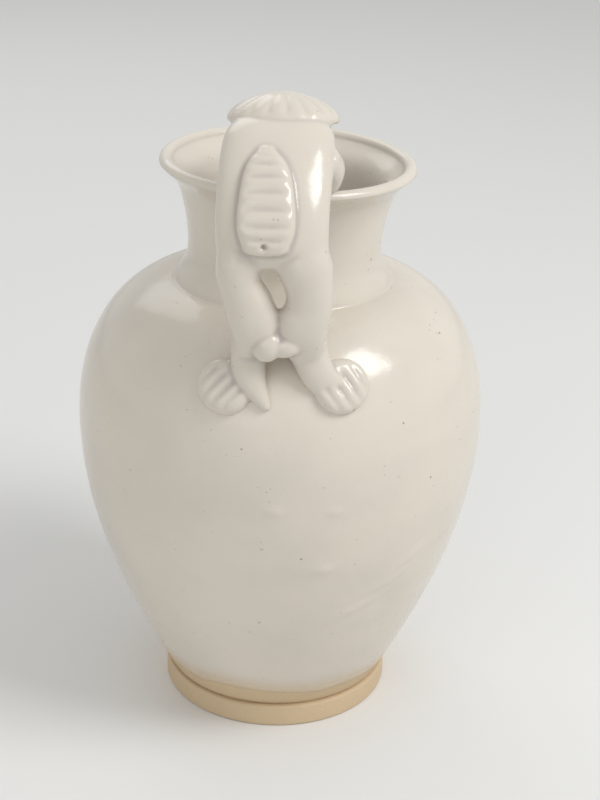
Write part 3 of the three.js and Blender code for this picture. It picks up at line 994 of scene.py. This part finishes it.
def spout_rings(sizes):
    """Rings up the spout's outside, over its rounded lip and down its bore.

    Circles square to the centre line. Where one would reach inside the jar, its points are pushed
    out from the axis to lie within the jar's wall.
    """
    places = np.linspace(0, 1, 80)
    centre = spline(spout_base(sizes) + SPOUT_LINE * MM, places)
    along = unit(np.gradient(centre, axis=0))
    out = np.cross(along, [1.0, 0, 0])
    outer = spline(SPOUT_RADII * MM, places)[:, 0]
    lip_turn = np.linspace(0, np.pi, 9)[1:-1]
    half = (outer[-1] - SPOUT_BORE) / 2
    lip_radius = SPOUT_BORE + half + half * np.cos(lip_turn)
    lip_centre = centre[-1] + (half * 0.6 * np.sin(lip_turn))[:, None] * along[-1]
    centres = np.concatenate([centre, lip_centre, centre[::-1]])
    radii = np.concatenate([outer, lip_radius, np.full(len(places), SPOUT_BORE)])
    outs = np.concatenate([out, np.repeat(out[-1:], len(lip_turn), 0), out[::-1]])
    angle = turns(SPOUT_SIDES)[:, None]
    circle = np.cos(angle) * np.array([1.0, 0, 0]) + np.sin(angle) * outs[:, None]
    rings = centres[:, None] + radii[:, None, None] * circle
    least = body_radius(sizes, rings[..., 2]) - sizes.wall * ROOT_DEPTH
    reach = np.hypot(rings[..., 0], rings[..., 1])
    rings[..., :2] *= (np.maximum(reach, least) / reach)[..., None]
    return rings


def foot_rings(sizes):
    """Rings of the foot: a flat disc with quarter-round edges, very slightly out of round.

    The radius loses a share that follows the sine of twice the turn, and a smaller one that
    follows the squared sine of seventeen times the turn.
    """
    radius, top, edge = sizes.foot_radius, sizes.foot_height, FOOT_EDGE
    bend = np.linspace(0, np.pi / 2, 6)
    low = np.stack([radius - edge + edge * np.sin(bend), edge - edge * np.cos(bend)], 1)
    high = np.stack([radius - edge + edge * np.cos(bend), top - edge + edge * np.sin(bend)], 1)
    flat = np.linspace(0.1, 0.96, 8)[:, None] * (radius - edge)
    under = np.concatenate([flat, 0 * flat], 1)
    over = np.concatenate([flat[::-1], 0 * flat + top], 1)
    rings = revolve(np.concatenate([under, low, high, over]), sizes.sides)
    turn = np.arctan2(rings[..., 1], rings[..., 0])
    oval = 0.5 + 0.5 * np.sin(2 * turn + 0.6)
    wobble = 1 - FOOT_OVAL * oval - FOOT_RIPPLE * np.sin(17 * turn) ** 2
    rings[..., :2] *= wobble[..., None]
    return rings


class EWER_OT_vessel(bpy.types.Operator):
    """Makes the thrown jar and neck as one glazed surface"""

    bl_idname = "ewer.vessel"
    bl_label = "Jar and neck"

    def execute(self, context):
        sizes = context.scene.ewer_vessel
        rings = hand_thrown(revolve(vessel_profile(sizes), sizes.sides), sizes)
        first = np.array([0, 0, sizes.foot_height])
        last = np.array([0, 0, sizes.foot_height + sizes.floor])
        material = jar_glaze(context.scene.ewer_finish, sizes.foot_height + GLAZE_STOP)
        skin = close_skin(rings, first, last)
        piece = add_piece("glazed_jar", skin, material, ("jar_body", "neck"))
        line = spout_base(sizes) + BORE_LINE * MM
        cut_out(piece, "bore", limb(line, np.full((2, 2), SPOUT_BORE), MM))
        return {"FINISHED"}


class EWER_OT_foot(bpy.types.Operator):
    """Makes the turned foot in bare clay"""

    bl_idname = "ewer.foot"
    bl_label = "Foot"

    def execute(self, context):
        sizes = context.scene.ewer_vessel
        skin = close_skin(foot_rings(sizes), np.zeros(3), np.array([0, 0, sizes.foot_height]))
        add_piece("clay_foot", skin, foot_clay(context.scene.ewer_finish), ("foot",))
        return {"FINISHED"}


class EWER_OT_spout(bpy.types.Operator):
    """Makes the short tapered spout with its bore"""

    bl_idname = "ewer.spout"
    bl_label = "Spout"

    def execute(self, context):
        skin = close_loop(spout_rings(context.scene.ewer_vessel))
        add_piece("glazed_spout", skin, spout_glaze(context.scene.ewer_finish), ("spout",))
        return {"FINISHED"}


class EWER_OT_lion(bpy.types.Operator):
    """Makes the lion that is the handle, fused into one glazed form"""

    bl_idname = "ewer.lion"
    bl_label = "Lion handle"

    def execute(self, context):
        lion = context.scene.ewer_lion
        skin = joined(lion_parts(context.scene.ewer_vessel, lion))
        material = lion_glaze(context.scene.ewer_finish)
        piece = add_piece("lion_handle", skin, material, LION_NODES)
        fuse(piece, lion.grain)
        return {"FINISHED"}


def add_lamp(name, place, side, power):
    """A square soft lamp that faces the middle of the ewer."""
    data = bpy.data.lights.new(name, "AREA")
    data.size = side
    data.energy = power
    lamp = bpy.data.objects.new(name, data)
    lamp.location = place
    lamp.rotation_mode = "QUATERNION"
    lamp.rotation_quaternion = (Vector(LAMP_TARGET) - Vector(place)).to_track_quat("-Z", "Y")
    bpy.context.scene.collection.objects.link(lamp)


def add_camera(scene):
    """The photograph's viewpoint: a long lens looking down on the handle side."""
    pan, pitch, roll = np.radians(VIEW_ANGLES)
    ahead = np.array([np.sin(pan) * np.cos(pitch), np.cos(pan) * np.cos(pitch), -np.sin(pitch)])
    right = np.cross(ahead, [0, 0, 1.0])
    right /= np.linalg.norm(right)
    up = np.cross(right, ahead)
    turn = np.eye(4)
    turn[:3, 0] = right * np.cos(roll) + up * np.sin(roll)
    turn[:3, 1] = up * np.cos(roll) - right * np.sin(roll)
    turn[:3, 2] = -ahead
    turn[:3, 3] = VIEW_PLACE
    data = bpy.data.cameras.new("view")
    data.sensor_width = SENSOR_WIDTH
    data.lens = VIEW_LENS
    camera = bpy.data.objects.new("view", data)
    camera.matrix_world = Matrix(turn.tolist())
    scene.collection.objects.link(camera)
    scene.camera = camera


def add_surround(scene):
    """A pale surround that camera, glossy and transmission rays see brighter than the others."""
    world = bpy.data.worlds.new("surround")
    world.use_nodes = True
    nodes = Nodes(world.node_tree)
    shown = nodes.tree.nodes["Background"]
    shown.inputs["Color"].default_value = SURROUND_COLOUR
    path = nodes.node("ShaderNodeLightPath").outputs
    camera, glossy, through = (
        Maths(nodes, path[f"Is {ray} Ray"]) for ray in ("Camera", "Glossy", "Transmission")
    )
    seen = camera.greater(glossy).greater(through)
    nodes.feed(shown.inputs["Strength"], seen * SURROUND_SEEN + SURROUND_LIGHT)
    scene.world = world


def add_floor(context):
    """A plain pale floor under the foot."""
    bpy.ops.mesh.primitive_plane_add(size=FLOOR_SIDE, location=(0, 0, 0))
    floor = context.object
    floor.name = "floor"
    surface = Surface("pale floor")
    pale = surface.blend(surface.noise(FLOOR_CELLS, 2.0) * 0.03, FLOOR_PALE, FLOOR_SHADE)
    surface.feed(surface.shader.inputs["Base Color"], pale)
    surface.shader.inputs["Roughness"].default_value = FLOOR_ROUGHNESS
    floor.data.materials.append(surface.material)


class EWER_OT_stage(bpy.types.Operator):
    """Makes the plain floor, the lamps, the surround and the camera"""

    bl_idname = "ewer.stage"
    bl_label = "Stage"

    def execute(self, context):
        context.scene.view_settings.view_transform = "Standard"
        add_floor(context)
        for lamp in LAMPS:
            add_lamp(*lamp)
        add_surround(context.scene)
        add_camera(context.scene)
        return {"FINISHED"}


class EWER_PT_panel(bpy.types.Panel):
    """Lists the ewer's pieces in the sidebar"""

    bl_idname = "EWER_PT_panel"
    bl_label = "Lion-handled ewer"
    bl_space_type = "VIEW_3D"
    bl_region_type = "UI"
    bl_category = "Ewer"

    def draw(self, context):
        for operator in OPERATORS:
            self.layout.operator(operator.bl_idname)


OPERATORS = (EWER_OT_vessel, EWER_OT_foot, EWER_OT_spout, EWER_OT_lion, EWER_OT_stage)
GROUPS = {"ewer_vessel": VesselSizes, "ewer_lion": LionSizes, "ewer_finish": Finishes}


def register():
    for name, group in GROUPS.items():
        bpy.utils.register_class(group)
        setattr(bpy.types.Scene, name, PointerProperty(type=group))
    for operator in OPERATORS:
        bpy.utils.register_class(operator)
    bpy.utils.register_class(EWER_PT_panel)


def unregister():
    bpy.utils.unregister_class(EWER_PT_panel)
    for operator in reversed(OPERATORS):
        bpy.utils.unregister_class(operator)
    for name, group in GROUPS.items():
        delattr(bpy.types.Scene, name)
        bpy.utils.unregister_class(group)


def main():
    """Registers the classes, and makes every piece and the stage."""
    register()
    bpy.ops.ewer.vessel()
    bpy.ops.ewer.foot()
    bpy.ops.ewer.spout()
    bpy.ops.ewer.lion()
    bpy.ops.ewer.stage()


if __name__ == "__main__":
    main()
